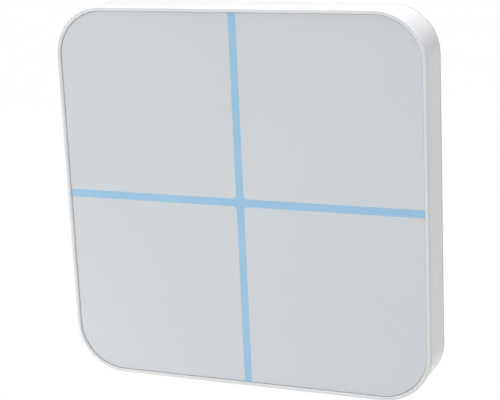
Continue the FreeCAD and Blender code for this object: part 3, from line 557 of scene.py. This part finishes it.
# %% Plated and other metals
# Nickel plate: the glossiest piece inside, a warm white metal.
nickel_plate = worked_metal(
    "nickel_plate", ("#c9c6bf", "#bdb9b1"), roughness=0.18, line_mm=0.3, depth_mm=0.001
)
dress(nickel_plate, "cover_magnets", "crystal")
# Tinned sheet: a soft neutral grey with lines along the strip.
tinned_sheet = worked_metal(
    "tinned_sheet", ("#c4c5c4", "#b4b6b6"), roughness=0.32, line_mm=0.2, stretch=ALONG_X
)
dress(tinned_sheet, "radio_shield", "pairing_switch")
# Pressed and sintered tungsten: dark, dull and grainy.
sintered_tungsten = worked_metal(
    "sintered_tungsten", ("#77767a", "#68676b"), roughness=0.5, line_mm=0.12, depth_mm=0.008
)
dress(sintered_tungsten, "motor_weight")
# Etched copper under a thin guard: a warm satin with faint stains.
etched_copper = worked_metal(
    "etched_copper", ("#d08a5e", "#c47d50"), roughness=0.35, line_mm=0.2
)
dress(etched_copper, "touch_electrodes")
# Aluminium foil in a plastic skin, sealed under vacuum: silvery, with soft dents 1.4 mm apart.
sealed_foil_laminate = worked_metal(
    "sealed_foil_laminate", ("#cfd1d4", "#c3c6ca"), roughness=0.35, line_mm=1.4, depth_mm=0.03
)
dress(sealed_foil_laminate, "battery_cell")

# %% [markdown]
# ## Circuit boards
#
# A board is glass cloth in resin under green lacquer, and copper tracks under the lacquer look lighter.
# They run in bundles, some level and some upright, with plain board between. A drawn layout would need
# an image. Instead the board is cut into cells about 6 mm across, with level, upright and slanted
# sides, and chance says which way a cell's tracks run and whether it has any.

# %% Bundles of tracks
LEVEL_FROM = 0.5
PLAIN_SHARE = 0.4
# The Math node's inputs share one name, so they go by number.
MATH_FIRST = 0
MATH_SECOND = 1


def bundle_chances(tree, flat, bundle_mm):
    """For each cell, one where its tracks run level, and one where it has any."""
    cells = add_node(
        tree,
        "TexVoronoi",
        settings={"voronoi_dimensions": "2D", "distance": "CHEBYCHEV"},
        values={"Scale": 1 / bundle_mm},
        links={"Vector": flat},
    )
    chance = add_node(tree, "SeparateColor", links={"Color": cells.outputs["Color"]})
    runs_level, has_tracks = (
        add_node(
            tree,
            "Math",
            settings={"operation": "GREATER_THAN"},
            values={MATH_SECOND: limit},
            links={MATH_FIRST: chance.outputs[channel]},
        )
        for channel, limit in (("Red", LEVEL_FROM), ("Green", PLAIN_SHARE))
    )
    return runs_level.outputs["Value"], has_tracks.outputs["Value"]


print(f"{PLAIN_SHARE:.0%} of the cells are plain board")

# %% [markdown]
# ### The tracks
#
# A board carries hundreds of tracks. Each could be a strip of its own, but here they are the crests of
# a wave, cut off at one level, so that one node draws a whole bundle. Real tracks are too fine to show,
# so these are drawn 0.9 mm apart.

# %% Copper tracks
FACING_THE_ROOM = (math.pi / 2, 0, 0)
# One wave of the Wave node is this long where the node's scale is one.
WAVE_LENGTH = math.pi / 10
COPPER_FROM = 0.7


def copper_tracks(tree, track_mm, bundle_mm):
    """One on a track and nothing beside it, in bundles that run level or upright."""
    flat = millimetres(tree, turn=FACING_THE_ROOM)
    runs_level, has_tracks = bundle_chances(tree, flat, bundle_mm)
    upright, level = (
        add_node(
            tree,
            "TexWave",
            settings={"bands_direction": across},
            values={"Scale": WAVE_LENGTH / track_mm},
            links={"Vector": flat},
        )
        for across in ("X", "Y")
    )
    waves = add_node(
        tree,
        "Mix",
        settings={"data_type": "FLOAT"},
        links={
            "Factor": runs_level,
            MIX_FIRST_NUMBER: upright.outputs["Fac"],
            MIX_SECOND_NUMBER: level.outputs["Fac"],
        },
    )
    crests = add_node(
        tree,
        "Math",
        settings={"operation": "GREATER_THAN"},
        values={MATH_SECOND: COPPER_FROM},
        links={MATH_FIRST: waves.outputs[MIXED_NUMBER]},
    )
    tracks = add_node(
        tree,
        "Math",
        settings={"operation": "MULTIPLY"},
        links={MATH_FIRST: crests.outputs["Value"], MATH_SECOND: has_tracks},
    )
    return tracks.outputs["Value"]


print(f"copper covers {math.acos(2 * COPPER_FROM - 1) / math.pi:.0%} of a bundle")

# %% [markdown]
# ### The lacquer
#
# The lacquer is a glossy skin of one green. It could be clear over a drawn board, but it hides all but
# the step from board to copper, so the tracks only choose between two greens. The cloth's threads lie
# 0.4 mm apart and print through the lacquer as a faint weave, which is relief alone.

# %% Circuit boards
LACQUER_DRIFT_MM = 9.0
WEAVE_DEPTH_MM = 0.004


def lacquered_board(name, base_hexes, track_hex, thread_mm, track_mm, bundle_mm):
    """Green solder lacquer over glass cloth and bundles of copper tracks."""
    material, tree, shader = new_material(name, {"IOR": 1.5, "Roughness": 0.3})
    place = millimetres(tree)
    green = add_node(
        tree,
        "Mix",
        settings={"data_type": "RGBA"},
        values={MIX_SECOND_COLOUR: linear(track_hex)},
        links={
            "Factor": copper_tracks(tree, track_mm, bundle_mm),
            MIX_FIRST_COLOUR: drifting_shade(tree, place, LACQUER_DRIFT_MM, base_hexes),
        },
    )
    cloth = add_node(
        tree,
        "TexWave",
        settings={"bands_direction": "DIAGONAL"},
        values={"Scale": WAVE_LENGTH / thread_mm},
        links={"Vector": place},
    )
    weave = add_node(
        tree,
        "Bump",
        values={"Strength": 1.0, "Distance": WEAVE_DEPTH_MM * MM},
        links={"Height": cloth.outputs["Fac"]},
    )
    tree.links.new(green.outputs[MIXED_COLOUR], shader.inputs["Base Color"])
    tree.links.new(weave.outputs["Normal"], shader.inputs["Normal"])
    return material


# Lacquered glass cloth: a deep glossy green that shows lighter bundles of tracks.
green_lacquered_board = lacquered_board(
    "green_lacquered_board",
    ("#0e4a2c", "#0b4026"),
    track_hex="#1f6a42",
    thread_mm=0.4,
    track_mm=0.9,
    bundle_mm=6.0,
)
dress(green_lacquered_board, "touch_sensor_board", "main_board", "radio_board")

# %% [markdown]
# ## Contacts in the charging socket
#
# The tongue in the socket carries a row of gold strips on both its faces. They are 0.03 mm thick, too
# thin for the solids, so they are made here. A painted stripe would lie flat and miss the bright edge
# that a strip has, so each is a thin plate with bevelled edges. Their place is read from the packed
# socket, so they stay in it if it moves.

# %% Contact sizes
CONTACT_COUNT = 8
CONTACT_PITCH_MM = 0.42
CONTACT_WIDTH_MM = 0.24
CONTACT_LENGTH_MM = 2.6
CONTACT_RISE_MM = 0.03
CONTACT_BEVEL_MM = CONTACT_RISE_MM / 4
CONTACT_SETBACK_MM = 0.35
TONGUE_THICKNESS_MM = 0.6

shell_low, shell_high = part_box("usb_shell")
tongue_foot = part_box("usb_insert")[0].z
middle_y = (shell_low.y + shell_high.y) / 2
print(f"the tongue's foot is at a height of {tongue_foot / MM:.2f} mm")

# %% [markdown]
# ### From points to an object
#
# A bmesh is a loose net of points and faces. It becomes an object when it is written to a mesh, given a
# material and linked to the scene. That could be written out each time, but the floor needs the same
# steps, so they are one function.


# %% From points to an object
def mesh_object(name, mesh, material):
    """Turn a bmesh into an object of one material, in the scene."""
    data = bpy.data.meshes.new(name)
    mesh.to_mesh(data)
    mesh.free()
    made = bpy.data.objects.new(name, data)
    made.data.materials.append(material)
    bpy.context.scene.collection.objects.link(made)
    print(f"{name}: {len(data.polygons)} faces")
    return made


# %% [markdown]
# ### Sixteen strips
#
# Each strip starts as a box, and all its edges are bevelled before it joins the others in one mesh. The
# strips could be sixteen objects, but they are pressed in as one comb and move as one, so they are one.

# %% Charging contacts
BEVEL_STEPS = 2


def thin_plate(mesh, centre, size, bevel):
    """A box in the mesh with its edges bevelled."""
    made = bmesh.ops.create_cube(mesh, size=1.0)
    bmesh.ops.scale(mesh, vec=size, verts=made["verts"])
    bmesh.ops.translate(mesh, vec=centre, verts=made["verts"])
    edges = {edge for vertex in made["verts"] for edge in vertex.link_edges}
    bmesh.ops.bevel(mesh, geom=list(edges), offset=bevel, segments=BEVEL_STEPS, affect="EDGES")


# Gold plated over nickel: a clear yellow that flashes when the socket turns to the light.
plated_gold = worked_metal(
    "plated_gold", ("#d9b05c", "#cfa34d"), roughness=0.25, line_mm=0.2, stretch=ALONG_Z, depth_mm=0.001
)
contact_mesh = bmesh.new()
for index in range(CONTACT_COUNT):
    across = (index - (CONTACT_COUNT - 1) / 2) * CONTACT_PITCH_MM * MM
    foot = tongue_foot + CONTACT_SETBACK_MM * MM
    for side in (-1, 1):
        face = middle_y + side * (TONGUE_THICKNESS_MM + CONTACT_RISE_MM) / 2 * MM
        thin_plate(
            contact_mesh,
            Vector((across, face, foot + CONTACT_LENGTH_MM / 2 * MM)),
            Vector((CONTACT_WIDTH_MM, CONTACT_RISE_MM, CONTACT_LENGTH_MM)) * MM,
            CONTACT_BEVEL_MM * MM,
        )
contacts = mesh_object("usb_contacts", contact_mesh, plated_gold)
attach(contacts, "controller")

# %% [markdown]
# ## Floor
#
# The photograph has a plain white ground with no shadow near the object. A floor close below would
# catch a shadow, so this one lies well below and is wide enough to reach the horizon. It glows a
# little, which keeps it white at a distance and throws light back up, as a white studio floor does.

# %% Floor
FLOOR_LEVEL_MM = -800.0
FLOOR_HALF_MM = 20000.0
FLOOR_CELLS = 8
FLOOR_DRIFT_MM = 400.0
FLOOR_GLOW = 0.859

# Rolled matt vinyl, as studios use: white and dull, so that it shows no highlight.
rolled_white_vinyl, floor_tree, floor_shader = new_material(
    "rolled_white_vinyl",
    {"Roughness": 0.9, "Emission Color": linear("#ffffff"), "Emission Strength": FLOOR_GLOW},
)
floor_place = millimetres(floor_tree)
floor_tone = drifting_shade(floor_tree, floor_place, FLOOR_DRIFT_MM, ("#fafafa", "#f6f6f6"))
floor_tree.links.new(floor_tone, floor_shader.inputs["Base Color"])
floor_mesh = bmesh.new()
floor_half = FLOOR_HALF_MM * MM
bmesh.ops.create_grid(floor_mesh, x_segments=FLOOR_CELLS, y_segments=FLOOR_CELLS, size=floor_half)
floor = mesh_object("studio_floor", floor_mesh, rolled_white_vinyl)
floor.location.z = FLOOR_LEVEL_MM * MM

# %% [markdown]
# ## Light
#
# The light is that of a white tent. A small box close above makes the top edge bright. A large box
# high over the front lights the face evenly, and a weak one low on the left lifts the lower left of the
# face. The right wall of the object is turned from all three and falls to a light grey, which is what
# gives the white object its shape against a white ground. An image of a room could light it too, but
# three boxes can each be steered by one number.

# %% Soft boxes
OBJECT_MIDDLE_MM = (0, -6, 0)
ABOVE_PLACE_MM = (25, 10, 330)
ABOVE_AIM_MM = (0, -6, 40)
ABOVE_SIZE_MM = 120
ABOVE_POWER_W = 0.95
FRONT_PLACE_MM = (-80, -260, 700)
FRONT_SIZE_MM = 600
FRONT_POWER_W = 3.35
LEFT_PLACE_MM = (-260, -200, -200)
LEFT_SIZE_MM = 200
LEFT_POWER_W = 0.38


def soft_box(name, place_mm, size_mm, power_w, aim_mm=OBJECT_MIDDLE_MM):
    """A square soft light that looks at the object."""
    data = bpy.data.lights.new(name, "AREA")
    data.shape = "SQUARE"
    data.size = size_mm * MM
    data.energy = power_w
    light = bpy.data.objects.new(name, data)
    light.location = Vector(place_mm) * MM
    aim = Vector(aim_mm) * MM - light.location
    light.rotation_euler = aim.to_track_quat("-Z", "Y").to_euler()
    light.visible_camera = False
    bpy.context.scene.collection.objects.link(light)
    print(f"{name}: {power_w} W at {place_mm} mm")


soft_box("box_above", ABOVE_PLACE_MM, ABOVE_SIZE_MM, ABOVE_POWER_W, ABOVE_AIM_MM)
soft_box("box_over_front", FRONT_PLACE_MM, FRONT_SIZE_MM, FRONT_POWER_W)
soft_box("box_left", LEFT_PLACE_MM, LEFT_SIZE_MM, LEFT_POWER_W)

# %% [markdown]
# ### The world
#
# The world is the light from everywhere else. It could be a bright dome, but a strong one washes out
# the grey of the side wall. It is white and weak here, and only fills the shadows.

# %% World
WORLD_STRENGTH = 0.15

world = bpy.data.worlds.new("white_tent")
bpy.context.scene.world = world
world.use_nodes = True
backdrop = world.node_tree.nodes["Background"]
backdrop.inputs["Color"].default_value = linear("#ffffff")
backdrop.inputs["Strength"].default_value = WORLD_STRENGTH
print(f"world at {WORLD_STRENGTH}")
